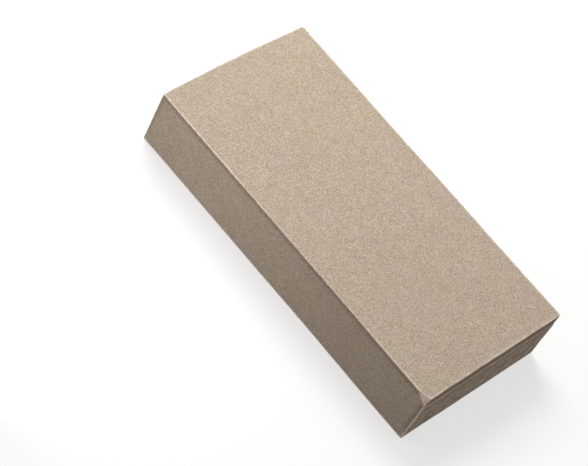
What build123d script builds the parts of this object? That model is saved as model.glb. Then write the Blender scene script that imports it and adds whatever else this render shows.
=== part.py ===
"""Acid-proof brick: one dry-pressed and fired block of dense stoneware.

The brick lies on its large bed face. +X runs along its length towards the end that carries the
press step, +Y across its width, +Z up through its thickness. The origin is the middle of the bed
face that it lies on. All sizes are in millimetres.
"""

import os

from build123d import *

# The format: the thin standard acid-proof brick.
LENGTH = 230.0
WIDTH = 113.0
THICKNESS = 40.0

# Every outside arris is slightly rounded by the mould and the kiln.
ARRIS_RADIUS = 0.5

# The upright arris of the -X end and the +Y side is worn rounder than the others.
WORN_CORNER_RADIUS = 2.0

# The press step: the upper band of the +X end is set back a little, which leaves a narrow ledge.
PRESS_BAND_HEIGHT = 9.0
PRESS_STEP = 0.3

# The chipped corner, at the top of the +X end and the -Y side: how far the break runs along each arris.
CHIP_ALONG_LENGTH = 6.0
CHIP_ALONG_WIDTH = 2.0
CHIP_DOWN = 4.0


def pressed_block(length: float, height: float, bed: int) -> Part:
    """A block that starts at the -X end, stands on Z = 0, and has rounded arrises round one bed face.

    bed is 0 for a block that ends in the lower bed face, and -1 for one that ends in the upper.
    """
    block = Pos(-LENGTH / 2, 0, 0) * Box(length, WIDTH, height, align=(Align.MIN, Align.CENTER, Align.MIN))
    worn_arris = block.edges().filter_by(Axis.Z).sort_by(Axis.X)[:2].sort_by(Axis.Y)[-1]
    block = fillet(worn_arris, WORN_CORNER_RADIUS)
    worn_corner = block.faces().filter_by(GeomType.CYLINDER)
    upright_arrises = block.edges().filter_by(Axis.Z) - worn_corner.edges()
    bed_arrises = block.faces().sort_by(Axis.Z)[bed].edges()
    return fillet(upright_arrises + bed_arrises, ARRIS_RADIUS)


def brick_with_press_step() -> Part:
    """The whole brick before it was chipped: the main block, and the shorter band above the ledge."""
    ledge_height = THICKNESS - PRESS_BAND_HEIGHT
    main_block = pressed_block(LENGTH, ledge_height, bed=0)
    upper_band = pressed_block(LENGTH - PRESS_STEP, PRESS_BAND_HEIGHT, bed=-1)
    return main_block + Pos(0, 0, ledge_height) * upper_band


def chip_plane() -> Plane:
    """The plane of the broken corner, through one point on each of its three arrises, facing outwards."""
    corner = Vector(LENGTH / 2 - PRESS_STEP, -WIDTH / 2, THICKNESS)
    on_long_arris = corner - Vector(CHIP_ALONG_LENGTH, 0, 0)
    on_end_arris = corner + Vector(0, CHIP_ALONG_WIDTH, 0)
    on_upright_arris = corner - Vector(0, 0, CHIP_DOWN)
    across = on_end_arris - on_long_arris
    downwards = on_upright_arris - on_long_arris
    return Plane(origin=on_long_arris, x_dir=across, z_dir=downwards.cross(across))


brick = split(brick_with_press_step(), bisect_by=chip_plane(), keep=Keep.BOTTOM)

os.makedirs("parts", exist_ok=True)
export_step(brick, "parts/brick.step")
print("brick volume", round(brick.volume), "mm3, box", brick.bounding_box())
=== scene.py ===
"""Dresses the acid-proof brick: a dry-pressed, fired stoneware block with worn arrises and a chip.

All lengths are in metres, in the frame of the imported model: the brick lies on its bed face at Z = 0,
+X runs along its length towards the end with the press step, +Y across its width, and +Z up.
"""

import logging
import math
from collections.abc import Callable, Iterator
from dataclasses import dataclass
from enum import Enum

import bmesh
import bpy
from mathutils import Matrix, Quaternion, Vector


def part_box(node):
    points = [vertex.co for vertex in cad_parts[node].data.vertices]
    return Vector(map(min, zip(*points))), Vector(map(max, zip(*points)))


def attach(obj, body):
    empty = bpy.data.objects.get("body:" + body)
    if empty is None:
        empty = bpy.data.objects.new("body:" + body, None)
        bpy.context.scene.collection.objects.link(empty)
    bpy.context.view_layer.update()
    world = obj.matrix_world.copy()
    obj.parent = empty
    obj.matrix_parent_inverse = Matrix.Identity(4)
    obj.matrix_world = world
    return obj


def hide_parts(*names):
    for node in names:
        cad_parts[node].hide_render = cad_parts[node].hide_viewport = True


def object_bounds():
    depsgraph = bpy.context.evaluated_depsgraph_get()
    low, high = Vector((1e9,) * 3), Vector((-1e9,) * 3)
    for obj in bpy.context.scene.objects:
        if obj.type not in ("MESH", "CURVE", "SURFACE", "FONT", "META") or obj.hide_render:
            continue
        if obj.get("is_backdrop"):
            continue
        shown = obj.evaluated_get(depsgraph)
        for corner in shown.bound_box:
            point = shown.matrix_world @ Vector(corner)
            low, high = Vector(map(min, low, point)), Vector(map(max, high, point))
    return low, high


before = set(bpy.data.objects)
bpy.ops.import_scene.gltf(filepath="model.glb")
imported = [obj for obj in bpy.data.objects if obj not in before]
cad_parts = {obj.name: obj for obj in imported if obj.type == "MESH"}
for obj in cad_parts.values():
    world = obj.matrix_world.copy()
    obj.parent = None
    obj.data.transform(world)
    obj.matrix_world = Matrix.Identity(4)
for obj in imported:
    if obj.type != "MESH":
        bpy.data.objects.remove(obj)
CAD_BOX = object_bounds()

log = logging.getLogger("acid_proof_brick")

MM = 0.001
TINY = 0.001 * MM
IMAGE_WIDTH = 588

# What can feed a node's input: a node, by the first of its outputs that is in use, or one output.
Source = bpy.types.Node | bpy.types.NodeSocket


class Along(Enum):
    """The three directions of the brick."""

    LENGTH = (1, 0, 0)
    WIDTH = (0, 1, 0)
    THICKNESS = (0, 0, 1)


class Element(Enum):
    """What is selected in edit mode: Blender's name for it, and the mesh's own list of it."""

    VERT = "verts"
    EDGE = "edges"
    FACE = "faces"


def linear(hex_colour: str) -> tuple[float, float, float, float]:
    """Turns an sRGB hex colour into Blender's linear colour.

    Args:
        hex_colour: the colour as "#RRGGBB".

    Returns:
        Linear red, green and blue, and an alpha of 1.
    """
    parts = [int(hex_colour[i:i + 2], 16) / 255 for i in (1, 3, 5)]
    red, green, blue = (c / 12.92 if c <= 0.04045 else ((c + 0.055) / 1.055) ** 2.4 for c in parts)
    return red, green, blue, 1.0


def add_node(tree: bpy.types.NodeTree, kind: str, inputs: dict[str | int, object] | None = None,
             **settings: object) -> bpy.types.Node:
    """Adds one node with its settings, and fills or links its inputs.

    Args:
        tree: the node tree that gets the node.
        kind: the node's type name in Blender.
        inputs: socket name or number to a constant, an output socket, or a node whose first output is used.
        **settings: the node's own properties.

    Returns:
        The new node.
    """
    node = tree.nodes.new(kind)
    for name, value in settings.items():
        setattr(node, name, value)
    in_use = [s for s in node.inputs if s.enabled]
    for key, value in (inputs or {}).items():
        socket = in_use[key] if isinstance(key, int) else next(s for s in in_use if s.name == key)
        if isinstance(value, bpy.types.Node):
            value = next(s for s in value.outputs if s.enabled)
        if isinstance(value, bpy.types.NodeSocket):
            tree.links.new(value, socket)
        else:
            socket.default_value = value
    return node


@dataclass(frozen=True)
class BrickSizes:
    """The brick's sizes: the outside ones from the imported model, and those of its arrises and marks."""

    length: float
    width: float
    thickness: float
    arris_radius: float = 0.5 * MM
    plan_corner_radius: float = 0.6 * MM
    worn_corner_radius: float = 2.0 * MM
    press_band_height: float = 9.0 * MM
    press_step: float = 0.3 * MM
    chip_along_length: float = 6.0 * MM
    chip_along_width: float = 2.0 * MM
    chip_down: float = 4.0 * MM

    @classmethod
    def of_node(cls, node: str) -> "BrickSizes":
        """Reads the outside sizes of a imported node.

        Args:
            node: the node's name.

        Returns:
            The sizes of that node.
        """
        low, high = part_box(node)
        return cls(*(high - low))

    @property
    def outside(self) -> Vector:
        """The length, the width and the thickness."""
        return Vector((self.length, self.width, self.thickness))

    @property
    def ledge_height(self) -> float:
        """The height of the press ledge above the floor."""
        return self.thickness - self.press_band_height

    @property
    def upper_arris(self) -> float:
        """The height at which the upper arrises start."""
        return self.thickness - self.arris_radius

    @property
    def end_face(self) -> float:
        """The X from which a point belongs to the stepped end, with its upright arrises."""
        return self.length / 2 - self.press_step - self.plan_corner_radius

    @property
    def side_face(self) -> float:
        """The distance from the middle from which a point belongs to a long side."""
        return self.width / 2 - self.arris_radius

    @property
    def whole_corner(self) -> Vector:
        """The place of the broken corner before it broke off."""
        return Vector((self.length / 2 - self.press_step, -self.width / 2, self.thickness))

    @property
    def chip_point(self) -> Vector:
        """The point of the long arris where the broken corner starts."""
        return self.whole_corner - Vector((self.chip_along_length, 0, 0))

    @property
    def chip_normal(self) -> Vector:
        """The outward normal of the broken corner."""
        slopes = (1 / self.chip_along_length, -1 / self.chip_along_width, 1 / self.chip_down)
        return Vector(slopes).normalized()

    def to_arris(self, point: Vector) -> float:
        """Measures how far a point of the surface is from the nearest arris of a whole, sharp block.

        Args:
            point: the point.

        Returns:
            The distance, which is the middle one of the gaps to end, side and bed.
        """
        gaps = (self.length / 2 - abs(point.x), self.width / 2 - abs(point.y),
                self.thickness / 2 - abs(point.z - self.thickness / 2))
        return sorted(gaps)[1]

    def to_chip(self, point: Vector) -> float:
        """The distance from a point to the plane of the broken corner."""
        return abs((point - self.chip_point).dot(self.chip_normal))


@dataclass(frozen=True)
class Fade:
    """How a tone fades with the distance from a mark: where it is full, where it is gone, and its cover."""

    full: float
    gone: float
    cover: float = 1.0

    def inputs(self, distance: Source) -> dict[str, object]:
        """The Map Range inputs that turn a distance into the tone's share."""
        return {"Value": distance, "From Min": self.gone, "From Max": self.full, "To Max": self.cover}


@dataclass(frozen=True)
class Patches:
    """Cloudy patches of a tone: their size, how frayed they are, where they lie, and their cover.

    The clouds run from 0 to 1, mostly near 0.5. A patch starts at one level of them and is full at another.
    Flattened patches are lower than they are wide, by that share.
    """

    size: float
    detail: float
    start: float
    full: float
    cover: float = 1.0
    flattened: float = 1.0

    def share(self, tree: bpy.types.NodeTree, place: bpy.types.NodeSocket) -> bpy.types.Node:
        """Adds the patches to a material.

        Args:
            tree: the material's node tree.
            place: the object coordinates.

        Returns:
            The node with the tone's share.
        """
        per_patch = (1 / self.size, 1 / self.size, 1 / (self.size * self.flattened))
        stretched = add_node(tree, "ShaderNodeVectorMath", {0: place, 1: per_patch}, operation="MULTIPLY")
        clouds = add_node(tree, "ShaderNodeTexNoise", {
            "Vector": stretched, "Scale": 1.0, "Detail": self.detail})
        return add_node(tree, "ShaderNodeMapRange", {
            "Value": clouds, "From Min": self.start, "From Max": self.full, "To Max": self.cover})


@dataclass(frozen=True)
class FiredStoneware:
    """Dry-pressed fired stoneware: dense, unglazed and matt.

    The eye sees sandy grain with faint pinkish and straw-coloured mottles and a few specks, a browner
    streak where the die scraped the brick, darkened by painted shade in the press band up to the top arris
    of the +X end, under its ledge and along the sides' arrises, and paler edges where the fired skin is
    worn off or broken, brightened by painted highlights along the arrises, the press ledge and the upright
    arris under the break.
    """

    body: str = "#C2B09E"
    pink_mottle: str = "#C3AF9F"
    straw_mottle: str = "#C2B19A"
    # Pale worn edges, and the painted highlight of the arrises and the press ledge.
    rubbed_edge_and_highlight: str = "#F0DFCD"
    # The pale fresh break, and the painted highlight of the upright arris under it.
    fresh_break_and_highlight: str = "#F8E2D3"
    # Browner die marks, and the painted shade in the press band, under its ledge and along the sides'
    # arrises.
    die_smear_and_shade: str = "#937B66"
    iron_speck: str = "#77675A"
    pale_speck: str = "#E2D8CA"
    dark_crack: str = "#8A786A"
    ior: float = 1.52
    roughness: float = 0.86
    roughness_swing: float = 0.1
    gloss: float = 0.25
    relief: float = 0.15 * MM
    relief_strength: float = 0.6

    # The real grit is 0.1 to 0.3 mm. The grain and the grits are drawn coarser, so that they show. The tint
    # says how far red, green and blue follow the grain, so that light and dark grains have one hue.
    grain_size: float = 0.45 * MM
    grain_detail: float = 2.0
    grain_fray: float = 0.65
    grain_strength: float = 1.5
    grain_tint: tuple[float, float, float] = (0.86, 1.0, 1.1)
    grit_size: float = 0.45 * MM
    grit_strength: float = 0.75
    cloud_size: float = 6.0 * MM
    cloud_detail: float = 2.0
    cloud_strength: float = 0.2
    pink_patches: Patches = Patches(9.0 * MM, detail=3.0, start=0.4, full=0.65)
    straw_patches: Patches = Patches(14.4 * MM, detail=3.0, start=0.4, full=0.65)
    speck_spacing: float = 7.0 * MM
    speck_spots: Fade = Fade(full=0.18 * MM, gone=0.45 * MM, cover=0.8)
    pale_speck_shift: float = 310.0 * MM

    # Browner die marks and painted shade: the press band, browner and darker towards the top arris as
    # painted shade, a painted shade strip under its ledge, stains below it, and rims of the sides, browner
    # and with painted shade along their arrises.
    band_foot: float = 0.2 * MM
    band_top: float = 1.0 * MM
    band_foot_cover: float = 0.55
    # Painted shade: a darker strip under the press ledge, fading downwards.
    shade_under_ledge: Fade = Fade(full=3.0 * MM, gone=7.5 * MM, cover=0.6)
    end_stains: Patches = Patches(9.0 * MM, detail=4.0, start=0.42, full=0.68, cover=0.75)
    # The sides' rims: a browner die streak and painted shade along their arrises.
    side_rims_smear_and_shade: Fade = Fade(full=0.88 * MM, gone=4.5 * MM, cover=0.8)
    off_foot: Fade = Fade(full=9.0 * MM, gone=4.5 * MM)

    # Pale wear and painted highlights: the arrises, worn pale and painted brighter as a highlight, whose
    # rim sways in and out, and marks on and near the end, of which the upright arris under the break and
    # the press ledge are painted highlights on pale wear.
    arris_rub_and_highlight: Fade = Fade(full=0.99 * MM, gone=1.87 * MM, cover=0.9)
    sway: float = 1.1 * MM
    sway_size: float = 6.0 * MM
    sway_detail: float = 3.0
    # Painted highlight on the pale upright arris under the broken corner.
    corner_rub_and_highlight: Fade = Fade(full=0.75 * MM, gone=0.975 * MM)
    # Painted highlight on the pale edge of the press ledge.
    ledge_rub_and_highlight: Fade = Fade(full=0.32 * MM, gone=0.8 * MM, cover=0.55)
    top_rim_rub: Fade = Fade(full=0.0, gone=2.6 * MM, cover=0.5)
    scuffs: Patches = Patches(5.0 * MM, detail=2.0, start=0.61, full=0.67, cover=0.8, flattened=0.32)

    # The break's pale face, and the crack that edges it on the top, by their depth below the break's plane.
    fresh_face: Fade = Fade(full=0.9 * MM, gone=1.35 * MM, cover=0.95)
    crack_depth: float = 0.72 * MM
    crack_line: Fade = Fade(full=0.09 * MM, gone=0.27 * MM, cover=0.6)
    crack_drop: float = 1.0 * MM

    def material(self, sizes: BrickSizes) -> bpy.types.Material:
        """Makes the material.

        Args:
            sizes: the brick's sizes, which place the worn arrises, the press band and the chip.

        Returns:
            The node material.
        """
        made = bpy.data.materials.new("dry_pressed_fired_stoneware")
        made.use_nodes = True
        tree = made.node_tree
        tree.nodes.clear()
        place = add_node(tree, "ShaderNodeTexCoord").outputs["Object"]
        grain = add_node(tree, "ShaderNodeTexNoise", {
            "Vector": place, "Scale": 1 / self.grain_size, "Detail": self.grain_detail,
            "Roughness": self.grain_fray})
        colour = self.mottled_body(tree, place)
        colour = self.smeared_and_shaded(tree, place, colour, sizes)
        colour = self.rubbed_and_highlighted(tree, place, colour, sizes)
        colour = self.broken(tree, place, colour, sizes)
        colour = self.grained(tree, place, colour, grain)
        colour = self.speckled(tree, place, colour)
        bump = add_node(tree, "ShaderNodeBump", {
            "Height": grain, "Strength": self.relief_strength, "Distance": self.relief})
        roughness = add_node(tree, "ShaderNodeMapRange", {
            "Value": grain, "To Min": self.roughness - self.roughness_swing,
            "To Max": self.roughness + self.roughness_swing})
        shader = add_node(tree, "ShaderNodeBsdfPrincipled", {
            "Base Color": colour, "Roughness": roughness, "IOR": self.ior, "Specular IOR Level": self.gloss,
            "Normal": bump})
        add_node(tree, "ShaderNodeOutputMaterial", {"Surface": shader})
        return made

    def mottled_body(self, tree: bpy.types.NodeTree, place: bpy.types.NodeSocket) -> bpy.types.Node:
        """Adds the body colour with its faint pinkish and straw-coloured mottles.

        Args:
            tree: the material's node tree.
            place: the object coordinates.

        Returns:
            The node with the colour.
        """
        colour = linear(self.body)
        mottles = ((self.pink_patches, self.pink_mottle), (self.straw_patches, self.straw_mottle))
        for patches, tone in mottles:
            colour = add_node(tree, "ShaderNodeMix", {
                "Factor": patches.share(tree, place), "A": colour, "B": linear(tone)}, data_type="RGBA")
        return colour

    def smeared_and_shaded(self, tree: bpy.types.NodeTree, place: bpy.types.NodeSocket, colour: bpy.types.Node,
                sizes: BrickSizes) -> bpy.types.Node:
        """Adds the browner die marks and the painted shade: the press band's shade, the shade under its
        ledge, stains of the +X end, and the sides' rims.

        Args:
            tree: the material's node tree.
            place: the object coordinates.
            colour: the colour of the plain faces.
            sizes: the brick's sizes.

        Returns:
            The node with the die-marked and shaded colour.
        """
        along, across, height = add_node(tree, "ShaderNodeSeparateXYZ", {"Vector": place}).outputs
        on_end = add_node(tree, "ShaderNodeMath", {0: along, 1: sizes.end_face}, operation="GREATER_THAN")
        below_top = add_node(tree, "ShaderNodeMath", {0: height, 1: sizes.upper_arris},
                             operation="LESS_THAN")

        # The press band: browner from the die, and painted shade that deepens from the ledge up to the top
        # arris.
        band = add_node(tree, "ShaderNodeMapRange", {
            "Value": height, "From Min": sizes.ledge_height, "From Max": sizes.thickness - self.band_top,
            "To Min": self.band_foot_cover})
        above_ledge = add_node(tree, "ShaderNodeMath", {0: height, 1: sizes.ledge_height + self.band_foot},
                               operation="GREATER_THAN")
        band = add_node(tree, "ShaderNodeMath", {0: band, 1: above_ledge}, operation="MULTIPLY")
        # Painted shade: a darker strip under the ledge, fading downwards.
        drop = add_node(tree, "ShaderNodeMath", {0: sizes.ledge_height, 1: height}, operation="SUBTRACT")
        shade_under_ledge = add_node(tree, "ShaderNodeMapRange", self.shade_under_ledge.inputs(drop))
        end_smear_and_shade = self.end_stains.share(tree, place)
        for share in (band, shade_under_ledge):
            end_smear_and_shade = add_node(tree, "ShaderNodeMath", {0: end_smear_and_shade, 1: share}, operation="MAXIMUM")
        end_smear_and_shade = add_node(tree, "ShaderNodeMath", {0: end_smear_and_shade, 1: on_end}, operation="MULTIPLY")

        # The sides' rims: browner die streak and painted shade along the arrises, kept off the foot.
        from_arris = self.arris_distance(tree, place, sizes)
        side_smear_and_shade = add_node(tree, "ShaderNodeMapRange", self.side_rims_smear_and_shade.inputs(from_arris))
        off_foot = add_node(tree, "ShaderNodeMapRange", self.off_foot.inputs(height))
        from_middle = add_node(tree, "ShaderNodeMath", {0: across}, operation="ABSOLUTE")
        on_side = add_node(tree, "ShaderNodeMath", {0: from_middle, 1: sizes.side_face},
                           operation="GREATER_THAN")
        for share in (off_foot, on_side):
            side_smear_and_shade = add_node(tree, "ShaderNodeMath", {0: side_smear_and_shade, 1: share}, operation="MULTIPLY")

        # The die marks and the painted shade together, kept off the top.
        smear_and_shade = add_node(tree, "ShaderNodeMath", {0: end_smear_and_shade, 1: side_smear_and_shade}, operation="MAXIMUM")
        smear_and_shade = add_node(tree, "ShaderNodeMath", {0: smear_and_shade, 1: below_top}, operation="MULTIPLY")
        return add_node(tree, "ShaderNodeMix", {"Factor": smear_and_shade, "A": colour, "B": linear(self.die_smear_and_shade)},
                        data_type="RGBA")

    def rubbed_and_highlighted(self, tree: bpy.types.NodeTree, place: bpy.types.NodeSocket, colour: bpy.types.Node,
               sizes: BrickSizes) -> bpy.types.Node:
        """Adds pale wear and painted highlights: ragged pale arrises and the press ledge, both also painted
        highlights, the upright arris under the break as a painted highlight, a rim of the top and scuffs.

        Args:
            tree: the material's node tree.
            place: the object coordinates.
            colour: the colour of the plain faces.
            sizes: the brick's sizes.

        Returns:
            The node with the worn and highlighted colour.
        """
        along, across, height = add_node(tree, "ShaderNodeSeparateXYZ", {"Vector": place}).outputs
        on_end = add_node(tree, "ShaderNodeMath", {0: along, 1: sizes.end_face}, operation="GREATER_THAN")
        on_top = add_node(tree, "ShaderNodeMath", {0: height, 1: sizes.upper_arris},
                          operation="GREATER_THAN")
        below_ledge = add_node(tree, "ShaderNodeMath", {0: height, 1: sizes.ledge_height},
                               operation="LESS_THAN")

        # The arrises: pale wear and a painted highlight in one, along a rim that sways in and out.
        sway = add_node(tree, "ShaderNodeTexNoise", {
            "Vector": place, "Scale": 1 / self.sway_size, "Detail": self.sway_detail})
        from_arris = self.arris_distance(tree, place, sizes)
        ragged = add_node(tree, "ShaderNodeMath", {0: sway, 1: self.sway, 2: from_arris},
                          operation="MULTIPLY_ADD")
        arris = add_node(tree, "ShaderNodeMapRange", self.arris_rub_and_highlight.inputs(ragged))

        # Painted highlight on the pale upright arris under the broken corner.
        from_end = add_node(tree, "ShaderNodeMath", {0: sizes.length / 2, 1: along}, operation="SUBTRACT")
        from_side = add_node(tree, "ShaderNodeMath", {0: sizes.width / 2, 1: across})
        from_corner = add_node(tree, "ShaderNodeMath", {0: from_end, 1: from_side}, operation="MAXIMUM")
        corner = add_node(tree, "ShaderNodeMapRange", self.corner_rub_and_highlight.inputs(from_corner))

        top_rim = add_node(tree, "ShaderNodeMapRange", self.top_rim_rub.inputs(from_end))
        top_rim = add_node(tree, "ShaderNodeMath", {0: top_rim, 1: on_top}, operation="MULTIPLY")

        # Painted highlight on the pale edge of the press ledge.
        rise = add_node(tree, "ShaderNodeMath", {0: height, 1: sizes.ledge_height}, operation="SUBTRACT")
        from_ledge = add_node(tree, "ShaderNodeMath", {0: rise}, operation="ABSOLUTE")
        ledge = add_node(tree, "ShaderNodeMapRange", self.ledge_rub_and_highlight.inputs(from_ledge))
        ledge = add_node(tree, "ShaderNodeMath", {0: ledge, 1: on_end}, operation="MULTIPLY")

        scuff = self.scuffs.share(tree, place)
        for share in (below_ledge, on_end):
            scuff = add_node(tree, "ShaderNodeMath", {0: scuff, 1: share}, operation="MULTIPLY")

        tones = ((top_rim, self.rubbed_edge_and_highlight), (scuff, self.rubbed_edge_and_highlight), (arris, self.rubbed_edge_and_highlight),
                 (ledge, self.rubbed_edge_and_highlight), (corner, self.fresh_break_and_highlight))
        for share, tone in tones:
            colour = add_node(tree, "ShaderNodeMix", {"Factor": share, "A": colour, "B": linear(tone)},
                              data_type="RGBA")
        return colour

    def broken(self, tree: bpy.types.NodeTree, place: bpy.types.NodeSocket, colour: bpy.types.Node,
               sizes: BrickSizes) -> bpy.types.Node:
        """Adds the broken corner: the pale fresh face, and the fine dark crack that edges it on the top.

        Args:
            tree: the material's node tree.
            place: the object coordinates.
            colour: the colour of the worn brick.
            sizes: the brick's sizes.

        Returns:
            The node with the finished colour.
        """
        plane = sizes.chip_normal.dot(sizes.chip_point)
        outwards = add_node(tree, "ShaderNodeVectorMath", {0: place, 1: sizes.chip_normal},
                            operation="DOT_PRODUCT")
        depth = add_node(tree, "ShaderNodeMath", {0: plane, 1: outwards.outputs["Value"]},
                         operation="SUBTRACT")
        fresh = add_node(tree, "ShaderNodeMapRange", self.fresh_face.inputs(depth))

        off_crack = add_node(tree, "ShaderNodeMath", {0: depth, 1: self.crack_depth}, operation="SUBTRACT")
        off_crack = add_node(tree, "ShaderNodeMath", {0: off_crack}, operation="ABSOLUTE")
        crack = add_node(tree, "ShaderNodeMapRange", self.crack_line.inputs(off_crack))
        height = add_node(tree, "ShaderNodeSeparateXYZ", {"Vector": place}).outputs["Z"]
        on_top = add_node(tree, "ShaderNodeMath", {0: height, 1: sizes.thickness - self.crack_drop},
                          operation="GREATER_THAN")
        crack = add_node(tree, "ShaderNodeMath", {0: crack, 1: on_top}, operation="MULTIPLY")

        for share, tone in ((fresh, self.fresh_break_and_highlight), (crack, self.dark_crack)):
            colour = add_node(tree, "ShaderNodeMix", {"Factor": share, "A": colour, "B": linear(tone)},
                              data_type="RGBA")
        return colour

    def grained(self, tree: bpy.types.NodeTree, place: bpy.types.NodeSocket, colour: bpy.types.Node,
                grain: bpy.types.Node) -> bpy.types.Node:
        """Makes the colour lighter and darker with the fine grain, the grits and the pressing's clouds.

        Args:
            tree: the material's node tree.
            place: the object coordinates.
            colour: the colour of the body.
            grain: the fine grain, about 0.5 on average.

        Returns:
            The node with the grained colour.
        """
        grit = add_node(tree, "ShaderNodeTexVoronoi", {"Vector": place, "Scale": 1 / self.grit_size})
        clouds = add_node(tree, "ShaderNodeTexNoise", {
            "Vector": place, "Scale": 1 / self.cloud_size, "Detail": self.cloud_detail})
        patterns = ((grain, self.grain_strength), (grit.outputs["Color"], self.grit_strength),
                    (clouds, self.cloud_strength))
        for pattern, strength in patterns:
            swing = add_node(tree, "ShaderNodeMapRange", {
                "Value": pattern, "To Min": -strength / 2, "To Max": strength / 2})
            tinted = add_node(tree, "ShaderNodeVectorMath", {"Vector": self.grain_tint, "Scale": swing},
                              operation="SCALE")
            colour = add_node(tree, "ShaderNodeVectorMath", {0: colour, 1: tinted, 2: colour},
                              operation="MULTIPLY_ADD")
        return colour

    def speckled(self, tree: bpy.types.NodeTree, place: bpy.types.NodeSocket,
                 colour: bpy.types.Node) -> bpy.types.Node:
        """Adds the iron specks and the pale ones.

        Args:
            tree: the material's node tree.
            place: the object coordinates.
            colour: the colour under the specks.

        Returns:
            The node with the speckled colour.
        """
        for speck, shift in ((self.iron_speck, 0.0), (self.pale_speck, self.pale_speck_shift)):
            moved = add_node(tree, "ShaderNodeVectorMath", {0: place, 1: (shift, shift, shift)})
            cells = add_node(tree, "ShaderNodeTexVoronoi", {
                "Vector": moved, "Scale": 1 / self.speck_spacing})
            from_speck = add_node(tree, "ShaderNodeMath", {0: cells, 1: self.speck_spacing},
                                  operation="MULTIPLY")
            spot = add_node(tree, "ShaderNodeMapRange", self.speck_spots.inputs(from_speck))
            colour = add_node(tree, "ShaderNodeMix", {"Factor": spot, "A": colour, "B": linear(speck)},
                              data_type="RGBA")
        return colour

    def arris_distance(self, tree: bpy.types.NodeTree, place: bpy.types.NodeSocket,
                       sizes: BrickSizes) -> bpy.types.Node:
        """Works out the distance to the nearest arris: the middle one of the gaps to end, side and bed.

        Args:
            tree: the material's node tree.
            place: the object coordinates.
            sizes: the brick's sizes.

        Returns:
            The node with the distance.
        """
        half = sizes.outside / 2
        centred = add_node(tree, "ShaderNodeVectorMath", {0: place, 1: (0, 0, half.z)},
                           operation="SUBTRACT")
        folded = add_node(tree, "ShaderNodeVectorMath", {0: centred}, operation="ABSOLUTE")
        gaps = add_node(tree, "ShaderNodeVectorMath", {0: half, 1: folded}, operation="SUBTRACT")
        end, side, bed = add_node(tree, "ShaderNodeSeparateXYZ", {"Vector": gaps}).outputs
        nearer = add_node(tree, "ShaderNodeMath", {0: end, 1: side}, operation="MINIMUM")
        farther = add_node(tree, "ShaderNodeMath", {0: end, 1: side}, operation="MAXIMUM")
        capped = add_node(tree, "ShaderNodeMath", {0: farther, 1: bed}, operation="MINIMUM")
        return add_node(tree, "ShaderNodeMath", {0: nearer, 1: capped}, operation="MAXIMUM")


@dataclass(frozen=True)
class Relief:
    """A cloudy relief in the surface: its greatest depth, the size of its hollows, and where they lie.

    The clouds run from 0 to 1, mostly near 0.5. They press in fully at the level deep, and not at all above
    flush. A negative depth swells out instead.
    """

    name: str
    depth: float
    hollow_size: float
    deep: float = 0.0
    flush: float = 1.0

    def weigh(self, piece: bpy.types.Object, share: Callable[[Vector], float]) -> None:
        """Notes for each point of a piece which share of the depth it gets.

        Args:
            piece: the object, in object mode.
            share: says a point's share from its place.
        """
        group = piece.vertex_groups.new(name=self.name)
        for point in piece.data.vertices:
            group.add([point.index], share(point.co), "REPLACE")

    def press(self, piece: bpy.types.Object) -> None:
        """Presses the relief into a weighed piece.

        Args:
            piece: the object, active and in object mode.
        """
        clouds = bpy.data.textures.new(self.name, "CLOUDS")
        clouds.noise_scale = self.hollow_size
        clouds.use_color_ramp = True
        for stop, position, level in zip(clouds.color_ramp.elements, (self.deep, self.flush), (0.0, 1.0)):
            stop.position = position
            stop.color = (level, level, level, 1.0)
        modifier = piece.modifiers.new(self.name, "DISPLACE")
        modifier.texture = clouds
        modifier.texture_coords = "LOCAL"
        modifier.vertex_group = self.name
        modifier.strength = self.depth
        modifier.mid_level = 1.0
        bpy.ops.object.modifier_apply(modifier=self.name)


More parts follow.
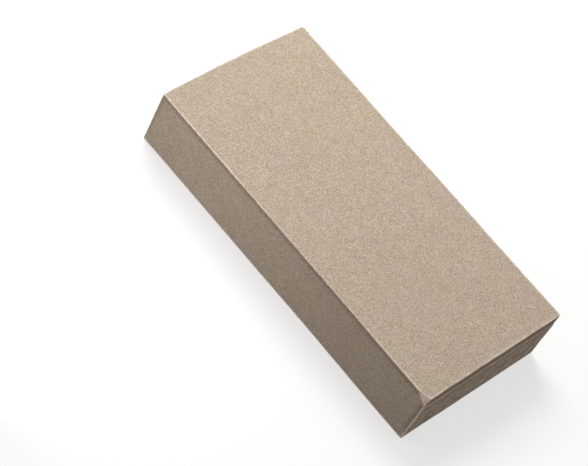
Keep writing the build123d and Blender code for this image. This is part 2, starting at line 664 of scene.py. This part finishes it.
@dataclass
class PressedBrick:
    """The brick, modelled from a block: press step, rounded arrises, chipped corner, warp and wear."""

    sizes: BrickSizes
    finish: FiredStoneware = FiredStoneware()
    arris_segments: int = 4
    worn_corner_segments: int = 6
    ledge_slope: float = 0.15 * MM
    first_line: float = 0.9 * MM
    finest_spacing: float = 0.4 * MM
    widest_spacing: float = 1.3 * MM
    spacing_growth: float = 1.25
    break_reach: tuple[float, float, float] = (9.0 * MM, 5.0 * MM, 7.0 * MM)
    break_spacing: float = 0.4 * MM
    far_end_bow: float = 0.9 * MM
    far_end_reach: float = 50.0 * MM
    far_corner_draw: float = 0.2 * MM
    far_corner_reach: float = 9.0 * MM
    far_foot_draw: float = 1.1 * MM
    far_foot_reach: float = 39.0 * MM
    side_hollow: float = 0.3 * MM
    warp: Relief = Relief("warp", 0.4 * MM, 60.0 * MM, deep=0.1, flush=0.6)
    sandy_skin: Relief = Relief("sandy_skin", 0.08 * MM, 2.6 * MM)
    arris_wear: Relief = Relief("arris_wear", 0.4 * MM, 7.0 * MM, deep=0.1, flush=0.6)
    nicks: Relief = Relief("nicks", 0.7 * MM, 3.0 * MM, deep=0.1, flush=0.28)
    break_face: Relief = Relief("break_face", 0.7 * MM, 1.6 * MM)
    break_swell: Relief = Relief("break_swell", -0.9 * MM, 4.0 * MM)
    break_skin: float = 0.1 * MM
    swell_rim: float = 1.0 * MM
    wear_reach: float = 1.6 * MM
    foot_wear_share: float = 0.4
    smooth_below: float = math.radians(28)

    def build(self) -> bpy.types.Object:
        """Models, dresses and places the brick.

        Returns:
            The finished piece.
        """
        piece = self.rounded_block()
        self.set_back_press_band(piece)
        self.break_corner(piece)
        self.cut_grid()
        self.draw_in(piece)
        bpy.ops.object.mode_set(mode="OBJECT")
        self.roughen(piece)
        bpy.ops.object.shade_smooth_by_angle(angle=self.smooth_below)
        piece.data.materials.append(self.finish.material(self.sizes))
        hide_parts("brick")
        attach(piece, "root")
        return piece

    def rounded_block(self) -> bpy.types.Object:
        """Adds a block of the brick's size with all its arrises rounded, and leaves it in edit mode.

        Returns:
            The new object.
        """
        sizes = self.sizes
        bpy.ops.object.select_all(action="DESELECT")
        bpy.ops.mesh.primitive_cube_add(size=1.0)
        piece = bpy.context.active_object
        piece.name = "fired_brick"
        bpy.ops.object.mode_set(mode="EDIT")
        bpy.ops.transform.resize(value=sizes.outside, center_override=(0, 0, 0))
        bpy.ops.transform.translate(value=(0, 0, sizes.thickness / 2))
        for is_worn, radius, segments in ((False, sizes.plan_corner_radius, self.arris_segments),
                                          (True, sizes.worn_corner_radius, self.worn_corner_segments)):
            self.select(piece, Element.EDGE, lambda ends: abs(ends[0].z - ends[1].z) > sizes.thickness / 2
                        and ((ends[0] - self.worn_corner).xy.length < TINY) == is_worn)
            bpy.ops.mesh.bevel(offset=radius, segments=segments, affect="EDGES")
        self.select(piece, Element.EDGE, lambda ends: abs(ends[0].z - ends[1].z) < TINY)
        bpy.ops.mesh.bevel(offset=sizes.arris_radius, segments=self.arris_segments, affect="EDGES")
        return piece

    @property
    def worn_corner(self) -> Vector:
        """The foot of the upright arris that is worn rounder than the others."""
        return Vector((-self.sizes.length / 2, self.sizes.width / 2, 0))

    def select(self, piece: bpy.types.Object, element: Element,
               wanted: Callable[[list[Vector]], bool]) -> None:
        """Selects points, edges or faces in edit mode, and nothing else.

        Args:
            piece: the object in edit mode.
            element: which of the three is selected.
            wanted: says from the places of its points whether one is selected.
        """
        bpy.ops.mesh.select_mode(type=element.name)
        bpy.ops.mesh.select_all(action="DESELECT")
        mesh = bmesh.from_edit_mesh(piece.data)
        for item in getattr(mesh, element.value):
            points = [item] if element is Element.VERT else item.verts
            item.select_set(wanted([point.co for point in points]))
        mesh.select_flush_mode()
        bmesh.update_edit_mesh(piece.data)

    def cut(self, point: Vector, normal: Vector, drop_outside: bool = False) -> None:
        """Cuts the whole mesh along a plane.

        Args:
            point: a point of the plane.
            normal: the plane's normal.
            drop_outside: whether the side that the normal points to is cut off and the hole filled.
        """
        bpy.ops.mesh.select_all(action="SELECT")
        bpy.ops.mesh.bisect(plane_co=point, plane_no=normal, use_fill=drop_outside,
                            clear_outer=drop_outside)

    def set_back_press_band(self, piece: bpy.types.Object) -> None:
        """Sets the upper band of the +X end back, which leaves the press ledge.

        Args:
            piece: the object in edit mode.
        """
        sizes = self.sizes
        top_of_slope = sizes.ledge_height + self.ledge_slope
        for height in (sizes.ledge_height, top_of_slope):
            self.cut(Vector((0, 0, height)), Vector(Along.THICKNESS.value))
        end = sizes.length / 2 - sizes.plan_corner_radius - TINY
        self.select(piece, Element.VERT,
                    lambda places: places[0].z > top_of_slope - TINY and places[0].x > end)
        bpy.ops.transform.translate(value=(-sizes.press_step, 0, 0))

    def break_corner(self, piece: bpy.types.Object) -> None:
        """Breaks off the corner at the top of the +X end and the -Y side, and divides the faces round it.

        Args:
            piece: the object in edit mode.
        """
        corner = self.sizes.whole_corner
        inwards = Vector((-1, 1, -1))
        self.cut(self.sizes.chip_point, self.sizes.chip_normal, drop_outside=True)
        reach = Vector(self.break_reach)
        for along in Along:
            self.cut(corner + inwards * reach, Vector(along.value))
        for along, depth in zip(Along, self.break_reach):
            for line in range(int(depth / self.break_spacing)):
                self.select(piece, Element.FACE, self.beside_break)
                bpy.ops.mesh.bisect(plane_co=corner + inwards * line * self.break_spacing,
                                    plane_no=Vector(along.value))

    def beside_break(self, places: list[Vector]) -> bool:
        """Says whether a face lies within the finely divided stretch round the broken corner."""
        gaps = [place - self.sizes.whole_corner for place in places]
        return all(abs(way) < reach + TINY for gap in gaps for way, reach in zip(gap, self.break_reach))

    def lines(self, size: float) -> Iterator[float]:
        """Gives the distances from a face at which the mesh is divided, closest together at the arris.

        Args:
            size: the brick's size in that direction.

        Yields:
            Each distance, up to the middle.
        """
        distance, spacing = self.first_line, self.finest_spacing
        while distance < size / 2:
            yield distance
            distance += spacing
            spacing = min(self.widest_spacing, spacing * self.spacing_growth)

    def cut_grid(self) -> None:
        """Divides all the faces into a grid that is fine along the arrises."""
        sizes = self.sizes
        centre = Vector((0, 0, sizes.thickness / 2))
        for along, size in zip(Along, sizes.outside):
            normal = Vector(along.value)
            for distance in self.lines(size):
                for side in (-1, 1):
                    self.cut(centre + side * (size / 2 - distance) * normal, normal)

    def draw_in(self, piece: bpy.types.Object) -> None:
        """Draws the far corners and the middle of the -Y side in, as the brick warped in the kiln.

        Args:
            piece: the object in edit mode.
        """
        sizes = self.sizes
        far = -sizes.length / 2 + sizes.worn_corner_radius
        near = -sizes.side_face
        bow = (self.far_end_bow, 0, 0)
        pulls = (
            (lambda place: place.x < far and place.y < near, bow, self.far_end_reach),
            (lambda place: place.x < far and place.y > -near - sizes.worn_corner_radius, bow,
             self.far_end_reach),
            (lambda place: place.x < far and place.y < near, (self.far_corner_draw, 0, 0),
             self.far_corner_reach),
            (lambda place: place.x < far and place.y < near and place.z < sizes.arris_radius,
             (self.far_foot_draw, 0, 0), self.far_foot_reach),
            (lambda place: abs(place.x) < self.widest_spacing and place.y < near, (0, self.side_hollow, 0),
             sizes.length / 2),
        )
        for held, move, reach in pulls:
            self.select(piece, Element.VERT, lambda places: held(places[0]))
            bpy.ops.transform.translate(value=move, use_proportional_edit=True, proportional_size=reach,
                                        proportional_edit_falloff="SMOOTH")

    def roughen(self, piece: bpy.types.Object) -> None:
        """Presses the warp, the sandy skin, the arris wear and the break's roughness into the piece.

        The faces that would swell past the two beds are held level with them.

        Args:
            piece: the object, in object mode.
        """
        shares = {self.warp: lambda point: 1.0, self.sandy_skin: lambda point: 1.0,
                  self.arris_wear: self.near_arris, self.nicks: self.near_arris,
                  self.break_face: self.on_break, self.break_swell: self.inside_break}
        for relief, share in shares.items():
            relief.weigh(piece, share)
        for relief in shares:
            relief.press(piece)
        piece.vertex_groups.clear()
        for point in piece.data.vertices:
            point.co.z = min(max(point.co.z, 0.0), self.sizes.thickness)

    def near_arris(self, point: Vector) -> float:
        """The share of the wear at a point: 1 at an upper arris, less at a lower one and 0 in a face."""
        by_height = self.foot_wear_share + (1 - self.foot_wear_share) * point.z / self.sizes.thickness
        return max(0.0, 1 - self.sizes.to_arris(point) / self.wear_reach) * by_height

    def on_break(self, point: Vector) -> float:
        """The share of the break's roughness at a point: 1 on the broken face and 0 beyond it."""
        return 1.0 if self.sizes.to_chip(point) < self.break_skin else 0.0

    def inside_break(self, point: Vector) -> float:
        """Works out the share of the break's swell: 0 at the rim of the broken face, and rising inwards.

        Args:
            point: a point of the surface.

        Returns:
            The share, from 0 to 1.
        """
        gap = self.sizes.whole_corner - point
        from_rim = max(0.0, min(gap.x, -gap.y, gap.z))
        return self.on_break(point) * min(1.0, from_rim / self.swell_rim)


def seen_by_camera(tree: bpy.types.NodeTree) -> bpy.types.Node:
    """Tells the rays that show a backdrop from those that only light the brick.

    Args:
        tree: the node tree that asks.

    Returns:
        A node that gives 1 for a camera, glossy or transmission ray.
    """
    path = add_node(tree, "ShaderNodeLightPath").outputs
    direct = add_node(tree, "ShaderNodeMath", {0: path["Is Camera Ray"], 1: path["Is Glossy Ray"]},
                      operation="MAXIMUM")
    return add_node(tree, "ShaderNodeMath", {0: direct, 1: path["Is Transmission Ray"]},
                    operation="MAXIMUM")


@dataclass(frozen=True)
class StudioFloor:
    """Pale matt paper: near white to the camera, with a soft shadow, and darker in what it throws back."""

    side: float = 6.0
    drop: float = 0.1 * MM
    lit_share: str = "#B9B9B9"
    even_share: str = "#CACACA"
    thrown_back: str = "#6C6A68"

    def build(self) -> bpy.types.Object:
        """Adds the floor under the brick.

        Returns:
            The floor.
        """
        bpy.ops.object.select_all(action="DESELECT")
        bpy.ops.mesh.primitive_plane_add(size=self.side, location=(0, 0, -self.drop))
        floor = bpy.context.active_object
        floor.name = "studio_floor"
        floor.data.materials.append(self.material())
        floor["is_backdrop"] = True
        return floor

    def material(self) -> bpy.types.Material:
        """Makes the floor's material.

        Returns:
            The node material.
        """
        made = bpy.data.materials.new("pale_paper_floor")
        made.use_nodes = True
        tree = made.node_tree
        tree.nodes.clear()
        lit = add_node(tree, "ShaderNodeBsdfDiffuse", {"Color": linear(self.lit_share)})
        even = add_node(tree, "ShaderNodeEmission", {"Color": linear(self.even_share)})
        seen = add_node(tree, "ShaderNodeAddShader", {0: lit, 1: even})
        thrown = add_node(tree, "ShaderNodeBsdfDiffuse", {"Color": linear(self.thrown_back)})
        shader = add_node(tree, "ShaderNodeMixShader", {"Fac": seen_by_camera(tree), 1: thrown, 2: seen})
        add_node(tree, "ShaderNodeOutputMaterial", {"Surface": shader})
        return made


@dataclass(frozen=True)
class SoftLamp:
    """A square soft lamp that faces the brick, out of the camera's sight."""

    name: str
    place: tuple[float, float, float]
    side: float
    power: float
    aim: tuple[float, float, float] = (0.0, 0.0, 0.0)

    def build(self) -> bpy.types.Object:
        """Adds the lamp.

        Returns:
            The lamp.
        """
        back = Vector(self.place) - Vector(self.aim)
        turn = back.to_track_quat("Z", "Y")
        bpy.ops.object.light_add(type="AREA", location=self.place, rotation=turn.to_euler())
        lamp = bpy.context.active_object
        lamp.name = self.name
        lamp.data.size = self.side
        lamp.data.energy = self.power
        lamp.visible_camera = False
        return lamp


@dataclass(frozen=True)
class StudioGlow:
    """An even glow from all round, in front of a white backdrop."""

    strength: float = 0.41
    white: str = "#FFFFFF"

    def build(self) -> None:
        """Sets up the scene's world."""
        world = bpy.data.worlds.new("studio_glow")
        world.use_nodes = True
        tree = world.node_tree
        tree.nodes.clear()
        glow = add_node(tree, "ShaderNodeBackground", {
            "Color": linear(self.white), "Strength": self.strength})
        backdrop = add_node(tree, "ShaderNodeBackground", {"Color": linear(self.white), "Strength": 1.0})
        shader = add_node(tree, "ShaderNodeMixShader", {"Fac": seen_by_camera(tree), 1: glow, 2: backdrop})
        add_node(tree, "ShaderNodeOutputWorld", {"Surface": shader})
        bpy.context.scene.world = world


@dataclass(frozen=True)
class PhotoCamera:
    """The photograph's camera: it looks down on the near corner, and is rolled about its own axis."""

    aim: tuple[float, float, float] = (-11.7 * MM, -34.65 * MM, 20.0 * MM)
    distance: float = 1332.9 * MM
    azimuth: float = math.radians(22.7)
    elevation: float = math.radians(48.73)
    roll: float = math.radians(31.74)
    focal_length_px: float = 2388.4

    def build(self) -> bpy.types.Object:
        """Adds the camera and makes it the scene's own.

        Returns:
            The camera.
        """
        level = math.cos(self.elevation)
        back = Vector((math.sin(self.azimuth) * level, -math.cos(self.azimuth) * level,
                       math.sin(self.elevation)))
        turn = back.to_track_quat("Z", "Y") @ Quaternion((0, 0, 1), self.roll)
        place = Vector(self.aim) + back * self.distance
        bpy.ops.object.camera_add(location=place, rotation=turn.to_euler())
        camera = bpy.context.active_object
        camera.data.sensor_fit = "HORIZONTAL"
        camera.data.lens = self.focal_length_px / IMAGE_WIDTH * camera.data.sensor_width
        bpy.context.scene.camera = camera
        return camera


KEY_LAMP = SoftLamp("key_lamp", place=(-0.45, 0.2, 0.65), side=0.4, power=4.35)
SIDE_LAMP = SoftLamp("side_lamp", place=(-0.08, -0.226, 0.06), side=0.1, power=0.1,
                     aim=(-0.08, -0.056, 0.0))


def main() -> None:
    """Builds the brick and its studio in order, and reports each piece."""
    logging.basicConfig(level=logging.INFO, format="%(name)s: %(message)s")
    brick = PressedBrick(BrickSizes.of_node("brick")).build()
    log.info("%s: %d faces", brick.name, len(brick.data.polygons))
    floor = StudioFloor().build()
    log.info("%s: %.1f m square", floor.name, floor.dimensions.x)
    for lamp in (KEY_LAMP, SIDE_LAMP):
        log.info("%s: %.2f W", lamp.build().name, lamp.power)
    StudioGlow().build()
    camera = PhotoCamera().build()
    log.info("%s: %.1f mm lens", camera.name, camera.data.lens)
    bpy.context.scene.view_settings.view_transform = "Standard"
    boxes = {"cad": CAD_BOX, "visual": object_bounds()}
    {name: [list(corner) for corner in box] for name, box in boxes.items()}


if __name__ == "__main__":
    main()
